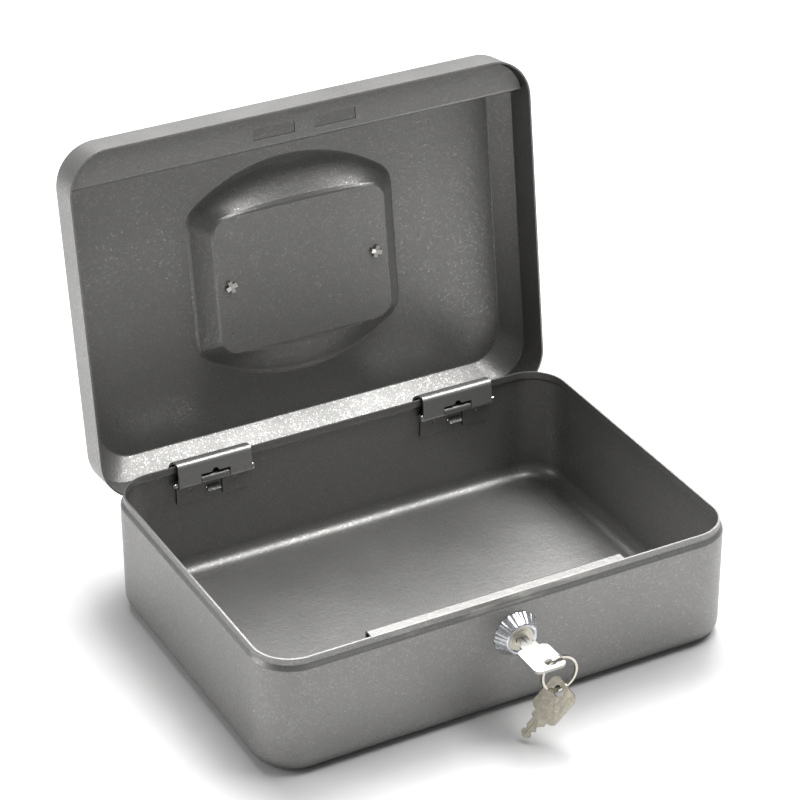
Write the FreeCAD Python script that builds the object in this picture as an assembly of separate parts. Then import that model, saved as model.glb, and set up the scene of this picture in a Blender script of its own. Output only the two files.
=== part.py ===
import FreeCAD, Part
import math
import os

# Sheet-steel cash box with a hinged lid, a cam lock and a folding handle on the lid.
# Millimetres. Origin at the centre of the base, +X to the right, -Y to the lock side,
# +Z up. The lid is built closed and then opened about the hinge axis.

V = FreeCAD.Vector
os.makedirs("parts", exist_ok=True)

# ---- driving dimensions: body ----
BODY_W = 250.0
BODY_D = 180.0
BODY_R = 21.0
SHEET = 0.9
BASE_R = 8.0
RIM_Z = 63.4
JOG = 1.7
JOG_LOW_Z = 57.9
JOG_HIGH_Z = 59.9
JOG_BEND = 1.2
PANEL_W = 212.0
PANEL_D = 140.0
PANEL_R = 9.0
PANEL_RISE = 0.45

# ---- driving dimensions: lid, closed ----
LID_OVER = 0.3
LID_RIM_Z = 59.2
SKIRT_H = 18.65
SKIRT_DRAFT = 0.3
LID_TOP_Z = 88.0
BEVEL = 10.0
BEVEL_TOP_R = 19.0
CREASE_R = 2.2
HINGE_Y = 86.4
HINGE_Z = 53.4
OPEN_DEG = 97.6
# how far the inner corner of the 45 degree bevel lies from the outer one, along each face
CORNER_SHIFT = SHEET * math.tan(math.radians(22.5))

# ---- driving dimensions: dished recess for the handle ----
DISH_X = 57.0
DISH_PEAK_Y = 57.5
DISH_SAGITTA = 20.9
DISH_R = 12.0
DISH_IN_X = 46.6
DISH_IN_Y = 35.5
DISH_IN_SAGITTA = 0.5
DISH_IN_R = 8.0
DISH_DEPTH = 10.8

# ---- driving dimensions: handle ----
POST_X = 40.5
POST_W = 5.0
POST_D = 8.0
ROD_R = 2.25
PIVOT_LIFT = 3.0
LEG_X = 34.6
GRIP_Y = 29.0
ROD_BEND = 3.2
GRIP_BEND = 8.0
TAIL_SIDE = 2.4
TAB_W = 2.1
TAB_T = 0.9
TAB_REACH = 3.2
TAB_LIFT_DEG = 14.0
TAB_TURN_DEG = 20.0

# ---- driving dimensions: hinges ----
LEAF_X = 68.7
LEAF_W = 40.0
NOTCH_W = 16.0
NOTCH_RISE = 3.8
RELIEF_R = 1.8
LEAF_T = 1.1
LEAF_TOP_GAP = 3.5
WELD_GAP = 0.01
NECK_R = 11.15
NECK_BEND = 1.9
NECK_FRONT = 0.75
NECK_FOOT = 1.70
PIN_R = 1.3
KNUCKLE_R = 2.25
RUN_FIT = 0.05
FIXED_FIT = 0.02
LEAF_LOW_Z = 41.0
LEAF_HIGH_Z = 50.6
BODY_LEAF_T = 1.0
U_GAP_W = 10.0
U_GAP_Z = 50.0
LANCE_W = 7.0
LANCE_TOP_Z = 47.6
LANCE_WINDOW_H = 2.6
LANCE_L = 4.1
LANCE_T = 0.8
LANCE_DEG = 42.0
HEAD_R = 2.2
HEAD_T = 1.3

# ---- driving dimensions: strike plate and lock guard ----
STRIKE_Z = 63.7
STRIKE_T = 1.0
STRIKE_REAR_Y = -71.2
STRIKE_HALF_X = 122.4
STRIKE_FLANGE_X = 103.0
STRIKE_REAR_H = 7.0
STRIKE_FRONT_H = 11.0
SLOT_W = 22.8
SLOT_D = 5.8
SLOT_Y = -79.15
SLOT_X = (-15.75, 17.5)
GUARD_LEFT = -71.5
GUARD_RIGHT = 62.6
GUARD_TOP = 62.0
GUARD_LOW = 12.0
GUARD_FLOOR = 21.0
GUARD_BACK_Y = -79.7
GUARD_T = 1.0

# ---- driving dimensions: lock ----
LOCK_X = 1.5
LOCK_Z = 42.3
BEZEL_R = 11.6
BEZEL_TIP_R = 8.0
BEZEL_H = 6.0
FLUTES = 20
FLUTE_R = 2.6
FLUTE_DEPTH = 0.14
BARREL_R = 7.4
NECK_BORE_R = 6.2
PLUG_R = 4.6
NUT_AF = 19.0
NUT_T = 2.8
HOOK_IN_R = 23.6
HOOK_OUT_R = 28.0
HOOK_HUB_R = 5.6
HOOK_FRONT_Y = -79.2
HOOK_T = 1.8
HOOK_TIP_DEG = 95.0
HOOK_ARM_DEG = 12.0
HOOK_ARM_W = 8.0
TAIL_SQ = 4.0

# ---- driving dimensions: keys ----
KEY_T = 1.4
BOW_W = 16.4
BOW_L = 19.4
BOW_R = 3.2
STEM_W = 8.6
STEM_L = 3.0
BLADE_W = 5.6
BLADE_L = 10.8
KEY_HOLE_S = 4.9
KEY_HOLE_T = 1.8
KEY_HOLE_L = 5.9
KEY_HOLE_H = 5.0
KEY_HOLE_R = 2.4
KEY_END_Y = -123.2
RING_R = 8.95
RING_RADIAL = 1.1
RING_AXIAL = 0.74
RING_SLACK = 0.5
RING_X = 8.1
RING_Y = -118.3
SPARE_AXIS = (-0.558, 0.209, -0.800)
SPARE_SIDE = (-0.123, 0.940, 0.320)
SPARE_HANG_S = 4.2
SPARE_HANG_T = 2.2


def export(name, shape):
    """Write one node."""
    shape.exportStep("parts/" + name + ".step")


def box(x0, x1, y0, y1, z0, z1):
    """Block between two corners."""
    return Part.makeBox(x1 - x0, y1 - y0, z1 - z0, V(x0, y0, z0))


def cylinder_y(x, z, radius, y0, y1):
    """Cylinder along Y between y0 and y1."""
    return Part.makeCylinder(radius, y1 - y0, V(x, y0, z), V(0, 1, 0))


def cylinder_x(y, z, radius, x0, x1):
    """Cylinder along X between x0 and x1."""
    return Part.makeCylinder(radius, x1 - x0, V(x0, y, z), V(1, 0, 0))


def mirror_x(shape):
    """Mirror image across the YZ plane."""
    return shape.mirror(V(0, 0, 0), V(1, 0, 0))


def open_lid(shape):
    """Turn a closed lid piece to the open pose."""
    turned = shape.copy()
    turned.rotate(V(0, HINGE_Y, HINGE_Z), V(1, 0, 0), -OPEN_DEG)
    return turned


def round_rect(width, depth, radius, z):
    """Rounded rectangle as a wire of four lines and four arcs."""
    a = width / 2 - radius
    b = depth / 2 - radius
    c = radius * math.sqrt(0.5)
    edges = []
    for sx, sy, first in ((1, 1, 0), (-1, 1, 1), (-1, -1, 0), (1, -1, 1)):
        on_x = V(sx * (a + radius), sy * b, z)
        on_y = V(sx * a, sy * (b + radius), z)
        mid = V(sx * (a + c), sy * (b + c), z)
        if first == 0:
            edges.append((on_x, mid, on_y))
        else:
            edges.append((on_y, mid, on_x))
    wire = []
    for index, (start, mid, end) in enumerate(edges):
        wire.append(Part.Arc(start, mid, end).toShape())
        following = edges[(index + 1) % 4][0]
        wire.append(Part.makeLine(end, following))
    return Part.Wire(wire)


def prism(wire, z_height):
    """Solid above a flat closed wire."""
    return Part.Face(wire).extrude(V(0, 0, z_height))


def sheet_face(points, radii, thickness, place):
    """Face of a bent strip: centre line through points, one bend radius per inner point."""
    count = len(points)
    headings = []
    for k in range(count - 1):
        dx = points[k + 1][0] - points[k][0]
        dy = points[k + 1][1] - points[k][1]
        size = math.hypot(dx, dy)
        headings.append((dx / size, dy / size))
    sides = []
    for offset in (thickness / 2, -thickness / 2):
        nx, ny = -headings[0][1], headings[0][0]
        here = (points[0][0] + nx * offset, points[0][1] + ny * offset)
        start = here
        edges = []
        for k in range(1, count - 1):
            u, v = headings[k - 1], headings[k]
            cross = u[0] * v[1] - u[1] * v[0]
            dot = u[0] * v[0] + u[1] * v[1]
            turn = math.atan2(cross, dot)
            side = 1.0 if turn > 0 else -1.0
            reach = radii[k - 1] * math.tan(abs(turn) / 2)
            p = points[k]
            a = (p[0] - u[0] * reach, p[1] - u[1] * reach)
            b = (p[0] + v[0] * reach, p[1] + v[1] * reach)
            centre = (a[0] - u[1] * side * radii[k - 1], a[1] + u[0] * side * radii[k - 1])
            away = math.hypot(p[0] - centre[0], p[1] - centre[1])
            radius = radii[k - 1] - side * offset
            mid = (centre[0] + (p[0] - centre[0]) / away * radius,
                   centre[1] + (p[1] - centre[1]) / away * radius)
            a_off = (a[0] - u[1] * offset, a[1] + u[0] * offset)
            b_off = (b[0] - v[1] * offset, b[1] + v[0] * offset)
            if math.hypot(a_off[0] - here[0], a_off[1] - here[1]) > 1e-5:
                edges.append(Part.makeLine(place(here), place(a_off)))
            edges.append(Part.Arc(place(a_off), place(mid), place(b_off)).toShape())
            here = b_off
        nx, ny = -headings[-1][1], headings[-1][0]
        end = (points[-1][0] + nx * offset, points[-1][1] + ny * offset)
        edges.append(Part.makeLine(place(here), place(end)))
        sides.append((start, edges, end))
    left, right = sides
    loop = list(left[1])
    loop.append(Part.makeLine(place(left[2]), place(right[2])))
    loop.extend(right[1])
    loop.append(Part.makeLine(place(right[0]), place(left[0])))
    return Part.Face(Part.Wire(Part.__sortEdges__(loop)))


def yz_strip(points, radii, thickness, x0, x1):
    """Bent strip with its section in the YZ plane, from x0 to x1."""
    face = sheet_face(points, radii, thickness, lambda q: V(x0, q[0], q[1]))
    return face.extrude(V(x1 - x0, 0, 0))


def around_plan(face_at, width, depth, radius):
    """Carry a section round a rounded rectangle: four corners, four sides, one solid."""
    a = width / 2 - radius
    b = depth / 2 - radius
    solid = None
    for sx, sy, turn in ((1, 1, 0), (-1, 1, 90), (-1, -1, 180), (1, -1, 270)):
        corner = face_at.copy()
        corner.rotate(V(0, 0, 0), V(0, 0, 1), turn)
        corner.translate(V(sx * a, sy * b, 0))
        run = V(0, -2 * b * sy, 0) if turn in (0, 180) else V(2 * a, 0, 0)
        if turn == 270:
            run = V(-2 * a, 0, 0)
        piece = corner.revolve(V(sx * a, sy * b, 0), V(0, 0, 1), 90)
        straight = corner.extrude(run)
        for extra in (piece, straight):
            solid = extra if solid is None else solid.fuse(extra)
    return solid


def stack(levels):
    """Solid through a list of (width, depth, radius, z) rounded rectangles."""
    wires = [round_rect(w, d, r, z) for (w, d, r, z) in levels]
    return Part.makeLoft(wires, True, True)


# ---- body shell ----
def build_body():
    half = SHEET / 2
    wall = BODY_R - half
    rim = wall - JOG
    points = [(2.0, half), (wall, half), (wall, JOG_LOW_Z), (rim, JOG_HIGH_Z), (rim, RIM_Z)]
    section = sheet_face(points, [BASE_R - half, JOG_BEND, JOG_BEND], SHEET,
                         lambda q: V(q[0], 0, q[1]))
    shell = around_plan(section, BODY_W, BODY_D, BODY_R)
    inner_w = BODY_W - 2 * BODY_R + 5.0
    inner_d = BODY_D - 2 * BODY_R + 5.0
    floor = prism(round_rect(inner_w, inner_d, 2.5, 0), SHEET)
    shell = shell.fuse(floor)
    step = 0.35
    raised = stack([(PANEL_W + step, PANEL_D + step, PANEL_R + step / 2, SHEET - 0.1),
                    (PANEL_W + step, PANEL_D + step, PANEL_R + step / 2, SHEET),
                    (PANEL_W, PANEL_D, PANEL_R, SHEET + PANEL_RISE)])
    shell = shell.fuse(raised)
    shell = shell.cut(cylinder_y(LOCK_X, LOCK_Z, BARREL_R + 0.1, -BODY_D / 2 - 2, -BODY_D / 2 + 4))
    wall_in = BODY_D / 2 - SHEET
    for side in (-1, 1):
        x0 = side * LEAF_X - LANCE_W / 2
        x1 = side * LEAF_X + LANCE_W / 2
        window = box(x0, x1, wall_in - 1, wall_in + 3, LANCE_TOP_Z - LANCE_WINDOW_H, LANCE_TOP_Z)
        tongue = box(x0, x1, -LANCE_L, 0, -LANCE_T, 0)
        tongue.rotate(V(0, 0, 0), V(1, 0, 0), LANCE_DEG)
        tongue.translate(V(0, wall_in + SHEET / 3, LANCE_TOP_Z + SHEET / 3))
        shell = shell.cut(window).fuse(tongue)
    return shell.removeSplitter()


# ---- lid shell ----
def lid_profile():
    """Section of the lid's outer face as (inset, z), with both creases rounded."""
    crease_z = LID_RIM_Z + SKIRT_H
    points = [(0.0, LID_RIM_Z), (SKIRT_DRAFT, crease_z), (BEVEL, LID_TOP_Z), (BEVEL + 12, LID_TOP_Z)]
    return points


def rounded_path(points, radius, steps):
    """Polyline with its inner corners replaced by short chords of an arc."""
    path = [points[0]]
    for k in range(1, len(points) - 1):
        p = points[k]
        a = points[k - 1]
        b = points[k + 1]
        ua = ((p[0] - a[0]), (p[1] - a[1]))
        ub = ((b[0] - p[0]), (b[1] - p[1]))
        la, lb = math.hypot(*ua), math.hypot(*ub)
        ua = (ua[0] / la, ua[1] / la)
        ub = (ub[0] / lb, ub[1] / lb)
        turn = math.atan2(ua[0] * ub[1] - ua[1] * ub[0], ua[0] * ub[0] + ua[1] * ub[1])
        side = 1.0 if turn > 0 else -1.0
        reach = radius * math.tan(abs(turn) / 2)
        first = (p[0] - ua[0] * reach, p[1] - ua[1] * reach)
        centre = (first[0] - ua[1] * side * radius, first[1] + ua[0] * side * radius)
        start = math.atan2(first[1] - centre[1], first[0] - centre[0])
        for i in range(steps + 1):
            angle = start + turn * i / steps
            path.append((centre[0] + radius * math.cos(angle), centre[1] + radius * math.sin(angle)))
    path.append(points[-1])
    return path


def lid_levels(path, shrink):
    """Rounded rectangles for each (inset, z) of the path."""
    levels = []
    lid_r = BODY_R + LID_OVER
    for inset, z in path:
        share = min(1.0, max(0.0, inset / BEVEL))
        radius = lid_r + (BEVEL_TOP_R - lid_r) * share - shrink
        width = BODY_W + 2 * LID_OVER - 2 * inset
        depth = BODY_D + 2 * LID_OVER - 2 * inset
        levels.append((width, depth, radius, z))
    return levels


def dish_wire(share, z, grow):
    """Outline of the recess between its mouth (share 0) and its floor (share 1).

    Each end is a shallow arc, each side a straight line, and a fillet tangent to both joins them.
    """
    def blend(mouth, floor):
        return mouth + (floor - mouth) * share

    half_x = blend(DISH_X, DISH_IN_X)
    peak_y = blend(DISH_PEAK_Y, DISH_IN_Y)
    sagitta = blend(DISH_SAGITTA, DISH_IN_SAGITTA)
    fillet = blend(DISH_R, DISH_IN_R)
    end_r = (half_x ** 2 + sagitta ** 2) / (2 * sagitta)
    end_y = peak_y - end_r
    corner_x = half_x - fillet
    rise = math.sqrt((end_r - fillet) ** 2 - corner_x ** 2)
    corner_y = end_y + rise
    lean = math.atan2(rise, corner_x)
    radius = fillet + grow
    side_x = half_x + grow
    tangent = (corner_x + radius * math.cos(lean), corner_y + radius * math.sin(lean))
    middle = (corner_x + radius * math.cos(lean / 2), corner_y + radius * math.sin(lean / 2))
    edges = [Part.makeLine(V(side_x, -corner_y, z), V(side_x, corner_y, z))]
    for way in (1, -1):
        start = V(way * side_x, way * corner_y, z)
        first = V(way * middle[0], way * middle[1], z)
        arc_start = V(way * tangent[0], way * tangent[1], z)
        arc_end = V(-way * tangent[0], way * tangent[1], z)
        second = V(-way * middle[0], way * middle[1], z)
        end = V(-way * side_x, way * corner_y, z)
        edges.append(Part.Arc(start, first, arc_start).toShape())
        edges.append(Part.Arc(arc_start, V(0, way * (peak_y + grow), z), arc_end).toShape())
        edges.append(Part.Arc(arc_end, second, end).toShape())
        if way == 1:
            edges.append(Part.makeLine(end, V(-side_x, -corner_y, z)))
    return Part.Wire(edges)


def dish_solid(top_z, floor_z, grow, above):
    """Recess volume with rounded mouth and floor edges."""
    wires = [dish_wire(0.0, top_z + above, grow)]
    depth = top_z - floor_z
    curve = ((0.0, 0.0), (0.06, 0.03), (0.14, 0.10), (0.86, 0.90), (0.94, 0.97), (1.0, 1.0))
    for share, fall in curve:
        wires.append(dish_wire(share, top_z - depth * fall, grow))
    return Part.makeLoft(wires, True, True)


def build_lid():
    outer_path = rounded_path(lid_profile(), CREASE_R, 4)[:-1]
    inner_points = [(x + SHEET, z) for (x, z) in lid_profile()[:2]]
    inner_points[0] = (SHEET, LID_RIM_Z - 1.0)
    inner_points[1] = (SKIRT_DRAFT + SHEET, LID_RIM_Z + SKIRT_H - CORNER_SHIFT)
    inner_points.append((BEVEL + CORNER_SHIFT, LID_TOP_Z - SHEET))
    inner_points.append((BEVEL + 12, LID_TOP_Z - SHEET))
    inner_path = rounded_path(inner_points, CREASE_R - SHEET, 4)[:-1]
    outer = stack(lid_levels(outer_path, 0.0))
    inner = stack(lid_levels(inner_path, SHEET))
    shell = outer.cut(inner)
    floor_z = LID_TOP_Z - DISH_DEPTH
    under = dish_solid(LID_TOP_Z - SHEET, floor_z - SHEET, 0.4, 0.45)
    cavity = dish_solid(LID_TOP_Z, floor_z, 0.0, 1.0)
    shell = shell.fuse(under).cut(cavity)
    for side in (-1, 1):
        x = side * POST_X
        half = TAIL_SIDE / 2 + 0.1
        slot = box(x - half, x + half, -half, half, floor_z - 3, floor_z + 1)
        shell = shell.cut(slot)
    return shell


# ---- strike plate ----
def build_strike():
    half = STRIKE_T / 2
    wall_y = -(BODY_D / 2 + LID_OVER) + SHEET + 0.3
    plate_z = STRIKE_Z + half
    rear_y = STRIKE_REAR_Y - half
    back = yz_strip([(wall_y + 0.6, plate_z), (rear_y, plate_z), (rear_y, STRIKE_Z + STRIKE_REAR_H)],
                    [1.3], STRIKE_T, -STRIKE_HALF_X, STRIKE_HALF_X)
    lid_r = BODY_R + LID_OVER
    bound = prism(round_rect(2 * STRIKE_HALF_X, BODY_D + 2 * LID_OVER - 2 * SHEET - 1.2,
                             lid_r - SHEET - 1.0, STRIKE_Z - 5), 30)
    back = back.common(bound)
    front_y = wall_y + half
    front = yz_strip([(front_y, STRIKE_Z + STRIKE_FRONT_H), (front_y, plate_z), (front_y + 8, plate_z)],
                     [1.3], STRIKE_T, -STRIKE_FLANGE_X, STRIKE_FLANGE_X)
    strike = back.fuse(front)
    for x in SLOT_X:
        strike = strike.cut(box(x - SLOT_W / 2, x + SLOT_W / 2, SLOT_Y - SLOT_D / 2,
                                SLOT_Y + SLOT_D / 2, STRIKE_Z - 3, STRIKE_Z + 3))
    return strike.removeSplitter()


# ---- lock guard: folded channel behind the front wall ----
def build_guard():
    half = GUARD_T / 2
    wall_y = -BODY_D / 2 + SHEET
    rim_y = wall_y + JOG
    web_y = GUARD_BACK_Y - half
    points = [(wall_y + half, GUARD_LOW), (wall_y + half, GUARD_FLOOR), (web_y, GUARD_FLOOR),
              (web_y, GUARD_TOP - half), (rim_y, GUARD_TOP - half)]
    guard = yz_strip(points, [1.4, 1.4, 1.4], GUARD_T, GUARD_LEFT, GUARD_RIGHT)
    return guard.cut(cylinder_y(LOCK_X, LOCK_Z, BARREL_R + 0.1, GUARD_BACK_Y - 3, GUARD_BACK_Y + 2))


# ---- hinge leaves and pins, built on the right side ----
def build_lid_leaf():
    turn = math.radians(OPEN_DEG)

    def to_closed(y, z):
        return (y * math.cos(turn) - z * math.sin(turn), y * math.sin(turn) + z * math.cos(turn))

    def tangent_corner(a_deg, b_deg):
        mid = math.radians((a_deg + b_deg) / 2)
        reach = NECK_R / math.cos(math.radians(a_deg - b_deg) / 2)
        return (reach * math.cos(mid), reach * math.sin(mid))

    def leaf_y(z):
        inset = SKIRT_DRAFT * (HINGE_Z + z - LID_RIM_Z + 1.0) / (SKIRT_H + 1.0 - CORNER_SHIFT)
        return BODY_D / 2 + LID_OVER - SHEET - inset - LEAF_T / 2 - WELD_GAP - HINGE_Y

    first_deg = 80.0
    c = math.radians(first_deg)
    corner_z = (NECK_R + NECK_FRONT * math.cos(c)) / math.sin(c)
    start = to_closed(-NECK_FOOT, -0.2)
    corner = to_closed(-NECK_FRONT, corner_z)
    from_deg = first_deg + OPEN_DEG
    to_deg = 90.0
    split = (from_deg + to_deg) / 2
    top_z = LID_RIM_Z + SKIRT_H - HINGE_Z - LEAF_TOP_GAP
    points = [start, corner, tangent_corner(from_deg, split), tangent_corner(split, to_deg),
              (leaf_y(NECK_R), NECK_R), (leaf_y(top_z), top_z)]
    points = [(y + HINGE_Y, z + HINGE_Z) for (y, z) in points]
    x0 = LEAF_X - LEAF_W / 2
    x1 = LEAF_X + LEAF_W / 2
    leaf = yz_strip(points, [NECK_BEND, NECK_R, NECK_R, 1.2], LEAF_T, x0, x1)
    for a, b in ((x0, LEAF_X - NOTCH_W / 2), (LEAF_X + NOTCH_W / 2, x1)):
        leaf = leaf.fuse(cylinder_x(HINGE_Y, HINGE_Z, KNUCKLE_R, a, b))
    leaf = leaf.cut(cylinder_x(HINGE_Y, HINGE_Z, PIN_R + RUN_FIT, x0 - 1, x1 + 1))
    notch = box(LEAF_X - NOTCH_W / 2, LEAF_X + NOTCH_W / 2, HINGE_Y - 6, HINGE_Y + 6,
                HINGE_Z - 4, HINGE_Z + NOTCH_RISE)
    relief = Part.makeCylinder(RELIEF_R, 12, V(LEAF_X, HINGE_Y - 6, HINGE_Z + NOTCH_RISE), V(0, 1, 0))
    # the notch is laid out in the open pose
    opened = open_lid(leaf)
    return opened.cut(notch).cut(relief).removeSplitter()


def build_body_leaf():
    wall_y = BODY_D / 2 - SHEET
    x0 = LEAF_X - LEAF_W / 2
    x1 = LEAF_X + LEAF_W / 2
    half = NOTCH_W / 2 - 0.35
    plate = box(x0, x1, wall_y - BODY_LEAF_T, wall_y, LEAF_LOW_Z, LEAF_HIGH_Z)
    strip = box(LEAF_X - half, LEAF_X + half, wall_y - BODY_LEAF_T, wall_y, LEAF_LOW_Z, HINGE_Z + 0.3)
    knuckle = cylinder_x(HINGE_Y, HINGE_Z, KNUCKLE_R, LEAF_X - half, LEAF_X + half)
    leaf = plate.fuse(strip).fuse(knuckle)
    leaf = leaf.cut(cylinder_x(HINGE_Y, HINGE_Z, PIN_R + FIXED_FIT, x0 - 1, x1 + 1))
    gap = box(LEAF_X - U_GAP_W / 2, LEAF_X + U_GAP_W / 2, wall_y - 3, wall_y + 1,
              LEAF_LOW_Z - 1, U_GAP_Z - 1.5)
    inset = U_GAP_W / 2 - 1.5
    corner = cylinder_y(LEAF_X - inset, U_GAP_Z - 1.5, 1.5, wall_y - 3, wall_y + 1)
    other = cylinder_y(LEAF_X + inset, U_GAP_Z - 1.5, 1.5, wall_y - 3, wall_y + 1)
    middle = box(LEAF_X - U_GAP_W / 2 + 1.5, LEAF_X + U_GAP_W / 2 - 1.5, wall_y - 3, wall_y + 1,
                 U_GAP_Z - 2, U_GAP_Z)
    leaf = leaf.cut(gap).cut(corner).cut(other).cut(middle)
    for dx in (-12.2, 12.2):
        dimple = Part.makeSphere(2.2, V(LEAF_X + dx, wall_y - BODY_LEAF_T - 1.9, 47.7))
        leaf = leaf.cut(dimple)
    return leaf.removeSplitter()


def build_pin():
    x0 = LEAF_X - LEAF_W / 2 - 0.15
    x1 = LEAF_X + LEAF_W / 2 + 1.6
    pin = cylinder_x(HINGE_Y, HINGE_Z, PIN_R, x0 - 0.2, x1)
    tail = Part.makeSphere(PIN_R, V(x1, HINGE_Y, HINGE_Z))
    dome = Part.makeSphere(HEAD_R, V(x0, HINGE_Y, HINGE_Z))
    cap = dome.common(box(x0 - HEAD_T, x0, HINGE_Y - 4, HINGE_Y + 4, HINGE_Z - 4, HINGE_Z + 4))
    return pin.fuse(tail).fuse(cap).removeSplitter()


# ---- carry handle and its posts ----
def build_post():
    floor_z = LID_TOP_Z - DISH_DEPTH
    pivot_z = floor_z + PIVOT_LIFT
    post = box(POST_X - POST_W / 2, POST_X + POST_W / 2, -POST_D / 2, POST_D / 2, floor_z, pivot_z)
    crown = cylinder_x(0, pivot_z, POST_D / 2, POST_X - POST_W / 2, POST_X + POST_W / 2)
    upper = box(POST_X - POST_W, POST_X + POST_W, -POST_D, POST_D, floor_z, pivot_z + POST_D)
    post = post.fuse(crown.common(upper))
    post = post.cut(cylinder_x(0, pivot_z, ROD_R + RUN_FIT, POST_X - POST_W, POST_X + POST_W))
    tail_z = floor_z - SHEET - 0.15
    stem = box(POST_X - TAIL_SIDE / 2, POST_X + TAIL_SIDE / 2, -TAIL_SIDE / 2, TAIL_SIDE / 2,
               tail_z - TAB_T * 0.6, floor_z + 0.4)
    post = post.fuse(stem)
    for turn in (0.0, 90.0, 180.0, 270.0):
        tab = box(0.0, TAB_REACH, -TAB_W / 2, TAB_W / 2, -TAB_T, 0.0)
        tab.rotate(V(0, 0, 0), V(0, 1, 0), TAB_LIFT_DEG)
        tab.rotate(V(0, 0, 0), V(0, 0, 1), turn + TAB_TURN_DEG)
        tab.translate(V(POST_X, 0, tail_z))
        post = post.fuse(tab)
    return post.removeSplitter()


def build_handle():
    floor_z = LID_TOP_Z - DISH_DEPTH
    pivot_z = floor_z + PIVOT_LIFT
    end_x = POST_X + POST_W / 2 + 0.9
    corners = [(-end_x, 0), (-LEG_X, 0), (-LEG_X, GRIP_Y), (LEG_X, GRIP_Y), (LEG_X, 0), (end_x, 0)]
    bends = [ROD_BEND, GRIP_BEND, GRIP_BEND, ROD_BEND]
    edges = []
    here = V(corners[0][0], corners[0][1], pivot_z)
    for k in range(1, 5):
        p = V(corners[k][0], corners[k][1], pivot_z)
        u = p.sub(V(corners[k - 1][0], corners[k - 1][1], pivot_z)).normalize()
        w = V(corners[k + 1][0], corners[k + 1][1], pivot_z).sub(p).normalize()
        radius = bends[k - 1]
        a = p.sub(V(u.x, u.y, 0).multiply(radius))
        b = p.add(V(w.x, w.y, 0).multiply(radius))
        centre = a.add(V(w.x, w.y, 0).multiply(radius))
        toward = p.sub(centre).normalize()
        mid = centre.add(toward.multiply(radius))
        edges.append(Part.makeLine(here, a))
        edges.append(Part.Arc(a, mid, b).toShape())
        here = b
    edges.append(Part.makeLine(here, V(corners[5][0], corners[5][1], pivot_z)))
    path = Part.Wire(edges)
    circle = Part.Wire(Part.makeCircle(ROD_R, V(-end_x, 0, pivot_z), V(1, 0, 0)))
    rod = path.makePipeShell([circle], True, False)
    # hangs plumb from its pivots when the lid is open
    opened = open_lid(rod)
    turn = math.radians(OPEN_DEG)
    y = -HINGE_Y
    z = pivot_z - HINGE_Z
    pivot = V(0, HINGE_Y + y * math.cos(turn) + z * math.sin(turn),
              HINGE_Z - y * math.sin(turn) + z * math.cos(turn))
    opened.rotate(pivot, V(1, 0, 0), OPEN_DEG - 90.0)
    return opened


# ---- lock ----
def build_bezel():
    face = -BODY_D / 2
    tip = face - BEZEL_H
    outline = [V(NECK_BORE_R, face, 0), V(BEZEL_R, face, 0), V(BEZEL_R, face - 0.5, 0),
               V(BEZEL_TIP_R + 0.2, tip + 0.4, 0), V(BEZEL_TIP_R - 0.4, tip, 0),
               V(NECK_BORE_R + 0.7, tip, 0), V(NECK_BORE_R, tip + 0.8, 0)]
    outline.append(outline[0])
    bezel = Part.Face(Part.makePolygon(outline)).revolve(V(0, 0, 0), V(0, 1, 0), 360)
    slope = V(BEZEL_TIP_R - BEZEL_R, -BEZEL_H, 0)
    length = slope.Length
    slope.normalize()
    outward = V(-slope.y, slope.x, 0)
    start = V(BEZEL_R, face, 0).add(V(outward.x, outward.y, 0).multiply(FLUTE_R - FLUTE_DEPTH))
    start = start.sub(V(slope.x, slope.y, 0).multiply(1.0))
    flute = Part.makeCylinder(FLUTE_R, length + 3.0, start, slope)
    cutters = []
    for k in range(FLUTES):
        copy = flute.copy()
        copy.rotate(V(0, 0, 0), V(0, 1, 0), 360.0 * k / FLUTES)
        cutters.append(copy)
    bezel = bezel.cut(Part.makeCompound(cutters))
    bezel.translate(V(LOCK_X, 0, LOCK_Z))
    return bezel


def build_barrel():
    face = -BODY_D / 2
    front = face - BEZEL_H + 0.8
    barrel = cylinder_y(LOCK_X, LOCK_Z, BARREL_R, face, GUARD_BACK_Y)
    barrel = barrel.fuse(cylinder_y(LOCK_X, LOCK_Z, NECK_BORE_R, front, face + 0.2))
    return barrel.cut(cylinder_y(LOCK_X, LOCK_Z, PLUG_R + RUN_FIT, front - 1, GUARD_BACK_Y + 1))


def build_nut():
    back = -BODY_D / 2 + SHEET
    flat = NUT_AF / 2 / math.cos(math.radians(30))
    corners = []
    for k in range(7):
        angle = math.radians(60 * k)
        corners.append(V(LOCK_X + flat * math.cos(angle), back, LOCK_Z + flat * math.sin(angle)))
    nut = Part.Face(Part.makePolygon(corners)).extrude(V(0, NUT_T, 0))
    chamfer = Part.makeCone(flat - 0.2, flat + 3.0, 3.2, V(LOCK_X, back + NUT_T, LOCK_Z), V(0, -1, 0))
    nut = nut.common(chamfer)
    return nut.cut(cylinder_y(LOCK_X, LOCK_Z, BARREL_R + FIXED_FIT, back - 1, back + NUT_T + 1))


def build_plug():
    front = -BODY_D / 2 - BEZEL_H + 0.6
    plug = cylinder_y(LOCK_X, LOCK_Z, PLUG_R, front, HOOK_FRONT_Y - 0.05)
    half = TAIL_SQ / 2
    tail = box(LOCK_X - half, LOCK_X + half, HOOK_FRONT_Y - 0.2, HOOK_FRONT_Y + HOOK_T - 0.1,
               LOCK_Z - half, LOCK_Z + half)
    plug = plug.fuse(tail)
    plug = plug.cut(cylinder_y(LOCK_X, LOCK_Z, 1.3, HOOK_FRONT_Y - 4, HOOK_FRONT_Y + 4))
    keyway = box(LOCK_X - BLADE_W / 2 - 0.2, LOCK_X + BLADE_W / 2 + 0.2, front - 1,
                 HOOK_FRONT_Y - 5, LOCK_Z - KEY_T / 2 - 0.15, LOCK_Z + KEY_T / 2 + 0.15)
    return plug.cut(keyway)


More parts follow.
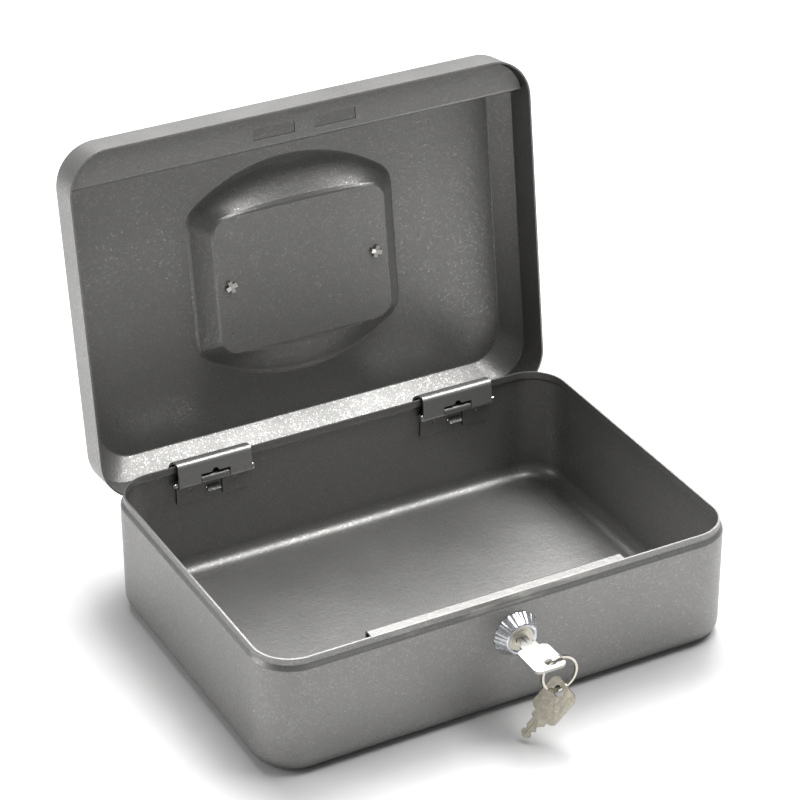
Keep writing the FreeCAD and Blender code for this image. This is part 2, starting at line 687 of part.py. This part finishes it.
def build_hook():
    """Hook in its locked pose, then turned back to unlocked."""
    centre = V(LOCK_X, HOOK_FRONT_Y, LOCK_Z)
    disc = cylinder_y(LOCK_X, LOCK_Z, HOOK_OUT_R, HOOK_FRONT_Y, HOOK_FRONT_Y + HOOK_T)
    hole = cylinder_y(LOCK_X, LOCK_Z, HOOK_IN_R, HOOK_FRONT_Y - 1, HOOK_FRONT_Y + HOOK_T + 1)
    band = disc.cut(hole)
    wedge = []
    for angle in (0.0, HOOK_ARM_DEG / 2, 35.0, 65.0, HOOK_TIP_DEG):
        a = math.radians(angle)
        wedge.append(V(LOCK_X + 60 * math.cos(a), HOOK_FRONT_Y - 1, LOCK_Z + 60 * math.sin(a)))
    corner = V(LOCK_X, HOOK_FRONT_Y - 1, LOCK_Z)
    sector = Part.Face(Part.makePolygon([corner] + wedge + [corner])).extrude(V(0, HOOK_T + 2, 0))
    band = band.common(sector)
    arm = box(LOCK_X, LOCK_X + (HOOK_IN_R + HOOK_OUT_R) / 2, HOOK_FRONT_Y, HOOK_FRONT_Y + HOOK_T,
              LOCK_Z - HOOK_ARM_W / 2, LOCK_Z + HOOK_ARM_W / 2)
    arm.rotate(centre, V(0, -1, 0), HOOK_ARM_DEG)
    hub = cylinder_y(LOCK_X, LOCK_Z, HOOK_HUB_R, HOOK_FRONT_Y, HOOK_FRONT_Y + HOOK_T)
    half = TAIL_SQ / 2 + 0.05
    square = box(LOCK_X - half, LOCK_X + half, HOOK_FRONT_Y - 1, HOOK_FRONT_Y + HOOK_T + 1,
                 LOCK_Z - half, LOCK_Z + half)
    hook = band.fuse(arm).fuse(hub).common(disc).cut(square).removeSplitter()
    hook.rotate(centre, V(0, -1, 0), -90.0)
    return hook


def build_washer():
    y = HOOK_FRONT_Y + HOOK_T
    return cylinder_y(LOCK_X, LOCK_Z, 4.8, y, y + 0.8).cut(
        cylinder_y(LOCK_X, LOCK_Z, 1.6, y - 1, y + 2))


def build_screw():
    y = HOOK_FRONT_Y + HOOK_T + 0.8
    head = cylinder_y(LOCK_X, LOCK_Z, 3.4, y, y + 1.9)
    head = head.makeFillet(0.8, [head.Edges[0]])
    shank = cylinder_y(LOCK_X, LOCK_Z, 1.25, y - 5.0, y + 0.2)
    slot_a = box(LOCK_X - 1.9, LOCK_X + 1.9, y + 0.9, y + 3, LOCK_Z - 0.4, LOCK_Z + 0.4)
    slot_b = box(LOCK_X - 0.4, LOCK_X + 0.4, y + 0.9, y + 3, LOCK_Z - 1.9, LOCK_Z + 1.9)
    return head.fuse(shank).cut(slot_a).cut(slot_b)


# ---- keys ----
def flat_outline(points, z):
    """Closed polygon wire from (s, t) points."""
    corners = [V(s, t, z) for (s, t) in points]
    corners.append(corners[0])
    return Part.makePolygon(corners)


def build_key():
    """Key lying flat: s along its length from the bow end, t across it."""
    z = -KEY_T / 2
    bow = prism(round_rect(BOW_L, BOW_W, BOW_R, z), KEY_T)
    bow.translate(V(BOW_L / 2, 0, 0))
    s0 = BOW_L
    s1 = BOW_L + STEM_L
    s2 = s1 + BLADE_L
    a = STEM_W / 2
    b = BLADE_W / 2
    outline = [(s0 - 2, -a - 1.2), (s0 + 0.6, -a), (s1, -a), (s1 + 0.5, -b), (s1 + 1.6, -b),
               (s1 + 2.4, -b + 0.9), (s1 + 3.3, -b + 0.9), (s1 + 4.1, -b), (s1 + 5.0, -b),
               (s1 + 6.1, -b + 1.5), (s1 + 7.0, -b + 1.5), (s1 + 7.9, -b + 0.3),
               (s1 + 8.8, -b + 0.3), (s2 - 1.2, -b + 0.8), (s2, -0.9), (s2, 0.9), (s2 - 1.6, b),
               (s1 + 7.6, b), (s1 + 6.8, b - 1.0), (s1 + 5.9, b - 1.0), (s1 + 5.1, b),
               (s1 + 0.5, b), (s1, a), (s0 + 0.6, a), (s0 - 2, a + 1.2)]
    blade = prism(flat_outline(outline, z), KEY_T)
    key = bow.fuse(blade)
    hole = prism(round_rect(KEY_HOLE_H, KEY_HOLE_L, KEY_HOLE_R, z - 1), KEY_T + 2)
    hole.translate(V(KEY_HOLE_S, KEY_HOLE_T, 0))
    key = key.cut(hole)
    groove = box(s1 + 0.5, s2 + 1, -0.5, 0.5, KEY_T / 2 - 0.4, KEY_T)
    key = key.cut(groove).cut(groove.mirror(V(0, 0, 0), V(0, 0, 1)))
    return key.removeSplitter()


def place_key(key, s_axis, t_axis, local, world):
    """Move a flat key so that its (s, t) axes and one local point land in the world."""
    s_dir = V(*s_axis).normalize()
    t_dir = V(*t_axis)
    t_dir = t_dir.sub(V(s_dir.x, s_dir.y, s_dir.z).multiply(t_dir.dot(s_dir))).normalize()
    n_dir = s_dir.cross(t_dir)
    shift = V(*world).sub(V(s_dir.x, s_dir.y, s_dir.z).multiply(local[0]))
    shift = shift.sub(V(t_dir.x, t_dir.y, t_dir.z).multiply(local[1]))
    matrix = FreeCAD.Matrix(s_dir.x, t_dir.x, n_dir.x, shift.x,
                            s_dir.y, t_dir.y, n_dir.y, shift.y,
                            s_dir.z, t_dir.z, n_dir.z, shift.z,
                            0, 0, 0, 1)
    moved = key.copy()
    moved.Placement = FreeCAD.Placement(matrix)
    return moved


def build_ring():
    """Split ring: two coils side by side, each with its gap, joined by a short step."""
    coils = []
    for level, start in ((-RING_AXIAL / 2 - 0.03, 200.0), (RING_AXIAL / 2 + 0.03, 232.0)):
        face = Part.Face(Part.makePolygon([
            V(RING_R - RING_RADIAL / 2, 0, level - RING_AXIAL / 2),
            V(RING_R + RING_RADIAL / 2, 0, level - RING_AXIAL / 2),
            V(RING_R + RING_RADIAL / 2, 0, level + RING_AXIAL / 2),
            V(RING_R - RING_RADIAL / 2, 0, level + RING_AXIAL / 2),
            V(RING_R - RING_RADIAL / 2, 0, level - RING_AXIAL / 2)]))
        coil = face.revolve(V(0, 0, 0), V(0, 0, 1), 354)
        coil.rotate(V(0, 0, 0), V(0, 0, 1), start)
        coils.append(coil)
    step = Part.Face(Part.makePolygon([
        V(RING_R - RING_RADIAL / 2, 0, -0.3), V(RING_R + RING_RADIAL / 2, 0, -0.3),
        V(RING_R + RING_RADIAL / 2, 0, 0.3), V(RING_R - RING_RADIAL / 2, 0, 0.3),
        V(RING_R - RING_RADIAL / 2, 0, -0.3)])).revolve(V(0, 0, 0), V(0, 0, 1), 22)
    step.rotate(V(0, 0, 0), V(0, 0, 1), 203)
    return coils[0].fuse(coils[1]).fuse(step)


export("body_shell", build_body())
export("lock_guard", build_guard())
export("lock_bezel", build_bezel())
export("lock_barrel", build_barrel())
export("lock_nut", build_nut())
leaf = build_body_leaf()
export("hinge_body_leaf_right", leaf)
export("hinge_body_leaf_left", mirror_x(leaf))
pin = build_pin()
export("hinge_pin_right", pin)
export("hinge_pin_left", mirror_x(pin))

export("lid_shell", open_lid(build_lid()))
export("strike_plate", open_lid(build_strike()))
lid_leaf = build_lid_leaf()
export("hinge_lid_leaf_right", lid_leaf)
export("hinge_lid_leaf_left", mirror_x(lid_leaf))
post = open_lid(build_post())
export("handle_post_right", post)
export("handle_post_left", mirror_x(post))
export("carry_handle", build_handle())

export("lock_plug", build_plug())
export("lock_hook", build_hook())
export("hook_washer", build_washer())
export("hook_screw", build_screw())

key = build_key()
export("key", place_key(key, (0, 1, 0), (1, 0, 0), (0, 0), (LOCK_X, KEY_END_Y, LOCK_Z)))
# the ring hangs on the rim of the bow, and the second key on the bottom of the ring
ring_z = LOCK_Z + KEY_T / 2 + RING_SLACK - (RING_R - RING_RADIAL / 2)
ring = place_key(build_ring(), (1, 0, 0), (0, 0, 1), (0, 0), (RING_X, RING_Y, ring_z))
export("key_ring", ring)
spare = place_key(key, SPARE_AXIS, SPARE_SIDE, (SPARE_HANG_S, SPARE_HANG_T),
                  (RING_X, RING_Y, ring_z - RING_R))
export("spare_key", spare)
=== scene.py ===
"""Looks of the cash box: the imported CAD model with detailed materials, light, floor and camera."""
import math

import bpy
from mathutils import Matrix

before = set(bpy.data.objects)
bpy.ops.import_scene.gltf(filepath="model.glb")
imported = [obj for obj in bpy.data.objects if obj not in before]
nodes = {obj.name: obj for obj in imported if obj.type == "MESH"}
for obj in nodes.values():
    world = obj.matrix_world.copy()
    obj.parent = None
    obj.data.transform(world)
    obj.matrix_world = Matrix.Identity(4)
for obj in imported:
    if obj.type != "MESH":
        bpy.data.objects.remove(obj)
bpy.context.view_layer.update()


# ---------- node helpers ----------
class Graph:
    """Short calls for building one material's nodes."""

    def __init__(self, name):
        self.material = bpy.data.materials.new(name)
        self.material.use_nodes = True
        self.tree = self.material.node_tree
        self.tree.nodes.clear()
        self.out = self.tree.nodes.new("ShaderNodeOutputMaterial")
        self.shader = self.tree.nodes.new("ShaderNodeBsdfPrincipled")
        self.link(self.shader.outputs[0], self.out.inputs["Surface"])
        self.where = self.tree.nodes.new("ShaderNodeTexCoord").outputs["Object"]

    def link(self, a, b):
        self.tree.links.new(a, b)

    def put(self, socket, value):
        if isinstance(value, (int, float, tuple, list)):
            socket.default_value = value
        else:
            self.link(value, socket)

    def noise(self, scale, detail, rough, where=None):
        node = self.tree.nodes.new("ShaderNodeTexNoise")
        self.put(node.inputs["Vector"], where or self.where)
        node.inputs["Scale"].default_value = scale
        node.inputs["Detail"].default_value = detail
        node.inputs["Roughness"].default_value = rough
        return node.outputs["Fac"]

    def cells(self, scale):
        """A random colour for each cell."""
        node = self.tree.nodes.new("ShaderNodeTexVoronoi")
        self.link(self.where, node.inputs["Vector"])
        node.inputs["Scale"].default_value = scale
        return node.outputs["Color"]

    def stretch(self, scale):
        node = self.tree.nodes.new("ShaderNodeMapping")
        self.link(self.where, node.inputs["Vector"])
        node.inputs["Scale"].default_value = scale
        return node.outputs["Vector"]

    def math(self, kind, a, b=0.0, clamp=False):
        node = self.tree.nodes.new("ShaderNodeMath")
        node.operation = kind
        node.use_clamp = clamp
        self.put(node.inputs[0], a)
        self.put(node.inputs[1], b)
        return node.outputs[0]

    def ramp(self, value, low, high, start=0.0, end=1.0):
        node = self.tree.nodes.new("ShaderNodeMapRange")
        self.put(node.inputs["Value"], value)
        node.inputs["From Min"].default_value = low
        node.inputs["From Max"].default_value = high
        node.inputs["To Min"].default_value = start
        node.inputs["To Max"].default_value = end
        return node.outputs["Result"]

    def mix(self, factor, a, b):
        node = self.tree.nodes.new("ShaderNodeMix")
        node.data_type = "RGBA"
        self.put(node.inputs["Factor"], factor)
        self.put(node.inputs["A"], a)
        self.put(node.inputs["B"], b)
        return node.outputs["Result"]

    def split(self, vector):
        node = self.tree.nodes.new("ShaderNodeSeparateXYZ")
        self.link(vector, node.inputs[0])
        return node.outputs

    def bump(self, height, strength, distance):
        node = self.tree.nodes.new("ShaderNodeBump")
        self.link(height, node.inputs["Height"])
        node.inputs["Strength"].default_value = strength
        node.inputs["Distance"].default_value = distance
        return node.outputs["Normal"]

    def edge(self, radius):
        """1 on sharp edges and 0 on flat faces."""
        bevel = self.tree.nodes.new("ShaderNodeBevel")
        bevel.samples = 4
        bevel.inputs["Radius"].default_value = radius
        geometry = self.tree.nodes.new("ShaderNodeNewGeometry")
        dot = self.tree.nodes.new("ShaderNodeVectorMath")
        dot.operation = "DOT_PRODUCT"
        self.link(bevel.outputs[0], dot.inputs[0])
        self.link(geometry.outputs["Normal"], dot.inputs[1])
        return self.ramp(dot.outputs["Value"], 0.985, 0.80)

    def open_air(self, distance):
        """1 in the open and towards 0 in creases, slots and gaps narrower than distance."""
        node = self.tree.nodes.new("ShaderNodeAmbientOcclusion")
        node.samples = 8
        node.inputs["Distance"].default_value = distance
        return node.outputs["AO"]

    def set(self, name, value):
        self.put(self.shader.inputs[name], value)


def between(g, value, low, high, soft):
    """1 where value lies between low and high, falling off over soft."""
    rise = g.ramp(value, low - soft, low)
    fall = g.ramp(value, high, high + soft, 1.0, 0.0)
    return g.math("MULTIPLY", rise, fall)


# ---------- paint ----------
# Where the body's rim lies and where it is rubbed, in metres.
FRONT_Y = -0.0855
RIM_BAND = (0.0590, 0.0640)
RIM_TOP = (0.0631, 0.0645)
RUBBED_X = (-0.040, 0.028)

PAINT_LOW = (0.225, 0.223, 0.217, 1)
PAINT_HIGH = (0.245, 0.243, 0.237, 1)
PAINT_GRAIN = (0.275, 0.272, 0.265, 1)
PAINT_FLAKE = (0.66, 0.65, 0.62, 1)
# Painted shade: the near-black that creases and gaps are darkened towards.
PAINT_CREASE_SHADE = (0.045, 0.045, 0.044, 1)
# Painted light: the pale grey that lighter copies of the coat are mixed towards.
PAINT_LIT_PALE = (0.46, 0.46, 0.45, 1)
# Light colour for worn edges and for the painted edge highlight.
PAINT_WEAR_AND_HIGHLIGHT = (0.42, 0.415, 0.40, 1)

# Features per metre.
PAINT_SCALES = {"grain": 820.0, "fine": 1900.0, "orange_peel": 330.0, "cloud": 9.0, "flake": 1500.0}
# How far the painted shade in creases and in narrow gaps reaches, in metres.
CREASE_SHADE_REACH = 0.010
GAP_SHADE_REACH = 0.0016
WEAR_AND_HIGHLIGHT_EDGE = 0.0008
PAINT_METALLIC = 0.70
PAINT_ROUGH = (0.38, 0.45)
PAINT_RELIEF = 0.00022


def graphite_paint(name, rim=False, lit_pale=0.0):
    """Fine-textured metallic graphite powder coat with painted shade in creases and gaps, and
    lighter edges, partly from wear and partly as a painted edge highlight.

    With rim the body's open rim shows wear too, most of all above the lock. pale, from 0 to 1,
    makes the whole coat lighter: a lighter copy of the same coat, standing in for brighter light.
    """
    g = Graph(name)
    grain = g.noise(PAINT_SCALES["grain"], 3.0, 0.6)
    fine = g.noise(PAINT_SCALES["fine"], 2.0, 0.5)
    orange_peel = g.noise(PAINT_SCALES["orange_peel"], 2.0, 0.5)
    cloud = g.noise(PAINT_SCALES["cloud"], 3.0, 0.5)
    flake = g.split(g.cells(PAINT_SCALES["flake"]))[0]
    spark = g.ramp(flake, 0.80, 1.0)
    base = g.mix(g.ramp(cloud, 0.3, 0.7), PAINT_LOW, PAINT_HIGH)
    base = g.mix(g.ramp(grain, 0.35, 0.65, 0.0, 0.5), base, PAINT_GRAIN)
    base = g.mix(g.math("MULTIPLY", spark, 0.16), base, PAINT_FLAKE)
    # Painted light: a lighter copy of the coat, mixed towards a pale grey by the given share.
    base = g.mix(lit_pale, base, PAINT_LIT_PALE)
    # Painted shade: the coat is darkened towards near-black in creases, slots and narrow gaps, where
    # ambient occlusion finds little open air.
    crease_shade = g.ramp(g.open_air(CREASE_SHADE_REACH), 0.15, 0.95, 0.55, 0.0)
    gap_shade = g.ramp(g.open_air(GAP_SHADE_REACH), 0.30, 0.85, 0.80, 0.0)
    base = g.mix(g.math("MAXIMUM", crease_shade, gap_shade), base, PAINT_CREASE_SHADE)
    edge = g.edge(WEAR_AND_HIGHLIGHT_EDGE)
    chips = g.math("MULTIPLY", edge, g.ramp(g.noise(260.0, 3.0, 0.6), 0.58, 0.68))
    # Partly painted highlight: all sharp edges are lightened a little with noise, partly as real
    # edge wear and partly as a painted edge highlight.
    edge_wear_and_highlight = g.math("MULTIPLY", edge, g.ramp(g.noise(45.0, 3.0, 0.6), 0.35, 0.65, 0.25, 0.55))
    wear_and_highlight = g.math("MAXIMUM", chips, edge_wear_and_highlight)
    if rim:
        x, y, z = g.split(g.where)
        front = g.math("LESS_THAN", y, FRONT_Y)
        band = g.math("MULTIPLY", between(g, z, *RIM_BAND, 0.0006), front)
        smear = g.noise(60.0, 4.0, 0.6, g.stretch((1.0, 1.0, 6.0)))
        band = g.math("MULTIPLY", band, between(g, x, *RUBBED_X, 0.03))
        band = g.math("MULTIPLY", band, g.ramp(smear, 0.47, 0.62), True)
        top = between(g, z, *RIM_TOP, 0.0003)
        wear_and_highlight = g.math("MAXIMUM", wear_and_highlight, g.math("MAXIMUM", band, g.math("MULTIPLY", top, 0.05)))
    # Edges are lightened: chips and the rim's band are wear, the general edge lightening is a
    # painted edge highlight.
    base = g.mix(g.math("MULTIPLY", wear_and_highlight, 0.75), base, PAINT_WEAR_AND_HIGHLIGHT)
    g.set("Base Color", base)
    g.set("Metallic", PAINT_METALLIC)
    rough = g.ramp(g.noise(25.0, 4.0, 0.6), 0.3, 0.7, *PAINT_ROUGH)
    rough = g.math("SUBTRACT", rough, g.math("MULTIPLY", spark, 0.14))
    g.set("Roughness", rough)
    height = g.math("ADD", g.math("MULTIPLY", grain, 0.6), g.math("MULTIPLY", orange_peel, 0.8))
    height = g.math("ADD", height, g.math("MULTIPLY", fine, 0.25))
    g.set("Normal", g.bump(height, 0.55, PAINT_RELIEF))
    return g.material


# ---------- bare and plated metal ----------
# Painted highlight: the near-white colour that metal edges are lightened towards.
PAINTED_EDGE_HIGHLIGHT = (0.86, 0.85, 0.82, 1)
EDGE_WIDTH = 0.00025
METAL_RELIEF = 0.00004


def plated(name, colour, dark, rough, scratch, metallic, tarnish):
    """Plated or bare metal with brushed scratches, tarnish clouds and painted edge highlights."""
    g = Graph(name)
    cloud = g.noise(260.0, 4.0, 0.6)
    hair = g.noise(900.0, 3.0, 0.6, g.stretch((0.12, 1.0, 1.0)))
    speck = g.noise(2600.0, 2.0, 0.6)
    edge = g.edge(EDGE_WIDTH)
    base = g.mix(g.ramp(cloud, 0.40, 0.75, 0.0, tarnish), colour, dark)
    base = g.mix(g.math("MULTIPLY", g.ramp(speck, 0.62, 0.75), 0.25), base, dark)
    # Painted highlight: sharp edges are lightened towards near-white.
    base = g.mix(g.math("MULTIPLY", edge, 0.5), base, PAINTED_EDGE_HIGHLIGHT)
    g.set("Base Color", base)
    g.set("Metallic", metallic)
    g.set("Roughness", g.ramp(hair, 0.3, 0.7, rough * 0.75, rough * 1.3))
    g.set("Normal", g.bump(g.math("ADD", hair, cloud), scratch, METAL_RELIEF))
    return g.material


# name: colour, tarnish colour, roughness, scratch depth, metallic share, amount of tarnish
METALS = {
    "bezel_chrome": ((0.70, 0.71, 0.74, 1), (0.42, 0.42, 0.44, 1), 0.30, 0.03, 0.90, 0.15),
    "lock_nickel": ((0.66, 0.64, 0.55, 1), (0.30, 0.27, 0.21, 1), 0.36, 0.50, 0.80, 0.50),
    "key_nickel": ((0.46, 0.455, 0.43, 1), (0.30, 0.285, 0.245, 1), 0.36, 0.30, 0.60, 0.25),
    "key_dull_nickel": ((0.40, 0.375, 0.31, 1), (0.24, 0.22, 0.17, 1), 0.40, 0.50, 0.85, 0.40),
    "ring_steel": ((0.60, 0.575, 0.50, 1), (0.20, 0.18, 0.13, 1), 0.20, 0.30, 1.00, 0.40),
    "pin_steel": ((0.70, 0.70, 0.70, 1), (0.20, 0.20, 0.20, 1), 0.25, 0.30, 1.00, 0.40),
    "bright_steel": ((0.90, 0.88, 0.83, 1), (0.30, 0.28, 0.24, 1), 0.30, 0.60, 0.70, 0.40),
    "handle_chrome": ((0.76, 0.76, 0.78, 1), (0.40, 0.40, 0.41, 1), 0.14, 0.15, 1.00, 0.20),
}

# ---------- which node gets which material ----------
paint = graphite_paint("graphite_powder_coat")
rim_paint = graphite_paint("graphite_powder_coat_rim", rim=True)
# Painted light: the lid's hinge leaves get a lighter copy of the same powder coat, standing in for
# brighter light on them; the body's leaves keep the plain coat.
lid_leaf_lit_paint = graphite_paint("lid_leaf_lit_powder_coat", lit_pale=0.60)
metal = {name: plated(name, *values) for name, values in METALS.items()}

LOOKS = {
    "body_shell": rim_paint,
    "lock_guard": rim_paint,
    "lid_shell": paint,
    "strike_plate": paint,
    "hinge_body_leaf_left": paint,
    "hinge_body_leaf_right": paint,
    "hinge_lid_leaf_left": lid_leaf_lit_paint,
    "hinge_lid_leaf_right": lid_leaf_lit_paint,
    "hinge_pin_left": metal["pin_steel"],
    "hinge_pin_right": metal["pin_steel"],
    "handle_post_left": metal["bright_steel"],
    "handle_post_right": metal["bright_steel"],
    "carry_handle": metal["handle_chrome"],
    "lock_bezel": metal["bezel_chrome"],
    "lock_barrel": metal["lock_nickel"],
    "lock_nut": metal["pin_steel"],
    "lock_plug": metal["lock_nickel"],
    "lock_hook": metal["lock_nickel"],
    "hook_washer": metal["pin_steel"],
    "hook_screw": metal["pin_steel"],
    "key": metal["key_nickel"],
    "key_ring": metal["ring_steel"],
    "spare_key": metal["key_dull_nickel"],
}
for name, node in nodes.items():
    node.data.materials.clear()
    node.data.materials.append(LOOKS[name])


# ---------- floor ----------
FLOOR_HALF = 6.0
FLOOR_DROP = 0.0002
PAPER_LOW = (0.64, 0.64, 0.64, 1)
PAPER_HIGH = (0.66, 0.66, 0.66, 1)
PAPER_FAR_SHADE = (0.22, 0.22, 0.22, 1)
# Painted shade: the paper darkens between these two y, far in front of the box.
FAR_Y = -1.2
NEAR_Y = -0.40


def floor_material():
    g = Graph("studio_floor")
    grain = g.noise(60.0, 4.0, 0.6)
    paper = g.mix(g.ramp(grain, 0.3, 0.7), PAPER_LOW, PAPER_HIGH)
    # Painted shade: the floor is darkened far in front of the box.
    far_shade = g.ramp(g.split(g.where)[1], FAR_Y, NEAR_Y, 1.0, 0.0)
    g.set("Base Color", g.mix(far_shade, paper, PAPER_FAR_SHADE))
    g.set("Roughness", 0.7)
    g.set("Specular IOR Level", 0.2)
    g.set("Normal", g.bump(grain, 0.05, 0.0002))
    return g.material


def build_floor():
    size = FLOOR_HALF
    mesh = bpy.data.meshes.new("studio_floor")
    corners = [(-size, -size, 0.0), (size, -size, 0.0), (size, size, 0.0), (-size, size, 0.0)]
    mesh.from_pydata(corners, [], [(0, 1, 2, 3)])
    floor = bpy.data.objects.new("studio_floor", mesh)
    floor.location.z = -FLOOR_DROP
    mesh.materials.append(floor_material())
    bpy.context.scene.collection.objects.link(floor)


build_floor()


# ---------- light ----------
def area(name, position, target, size, power):
    """Soft rectangular light that looks at target."""
    light = bpy.data.lights.new(name, "AREA")
    light.shape = "RECTANGLE"
    light.size = size[0]
    light.size_y = size[1]
    light.energy = power
    lamp = bpy.data.objects.new(name, light)
    lamp.location = position
    dx, dy, dz = (target[i] - position[i] for i in range(3))
    yaw = math.atan2(dy, dx)
    pitch = math.atan2(dz, math.hypot(dx, dy))
    lamp.rotation_euler = (math.pi / 2 + pitch, 0.0, yaw - math.pi / 2)
    bpy.context.scene.collection.objects.link(lamp)


# name: position, target, size, watts
LIGHTS = {
    "overhead_softbox": ((0.62, -0.12, 1.5), (0.05, 0.05, 0.05), (1.05, 0.85), 25.0),
    "rear_softbox": ((0.30, 0.72, 1.45), (0.0, 0.0, 0.05), (1.1, 0.8), 46.0),
    "left_softbox": ((-1.6, 0.5, 0.7), (0.0, 0.0, 0.08), (1.1, 1.1), 12.0),
}
for name, values in LIGHTS.items():
    area(name, *values)

world = bpy.data.worlds.new("studio")
world.use_nodes = True
background = world.node_tree.nodes["Background"]
background.inputs["Color"].default_value = (1.0, 1.0, 1.0, 1.0)
background.inputs["Strength"].default_value = 0.20
bpy.context.scene.world = world
bpy.context.scene.view_settings.view_transform = "Standard"


# ---------- camera ----------
CAMERA_AZIMUTH = math.radians(-28.25)
CAMERA_ELEVATION = math.radians(30.14)
CAMERA_ROLL = math.radians(0.18)
CAMERA_DISTANCE = 1.3794
CAMERA_TARGET = (-0.01632, -0.0108, 0.1315)
CAMERA_LENS = 133.456


def build_camera():
    azimuth = CAMERA_AZIMUTH
    elevation = CAMERA_ELEVATION
    back = (math.sin(azimuth) * math.cos(elevation), -math.cos(azimuth) * math.cos(elevation),
            math.sin(elevation))
    data = bpy.data.cameras.new("camera")
    data.sensor_width = 36.0
    data.lens = CAMERA_LENS
    data.clip_start = 0.01
    camera = bpy.data.objects.new("camera", data)
    camera.location = [CAMERA_TARGET[i] + back[i] * CAMERA_DISTANCE for i in range(3)]
    camera.rotation_mode = "XYZ"
    camera.rotation_euler = (math.pi / 2 - elevation, 0.0, azimuth)
    camera.rotation_euler.rotate_axis("Z", -CAMERA_ROLL)
    bpy.context.scene.collection.objects.link(camera)
    bpy.context.scene.camera = camera


build_camera()
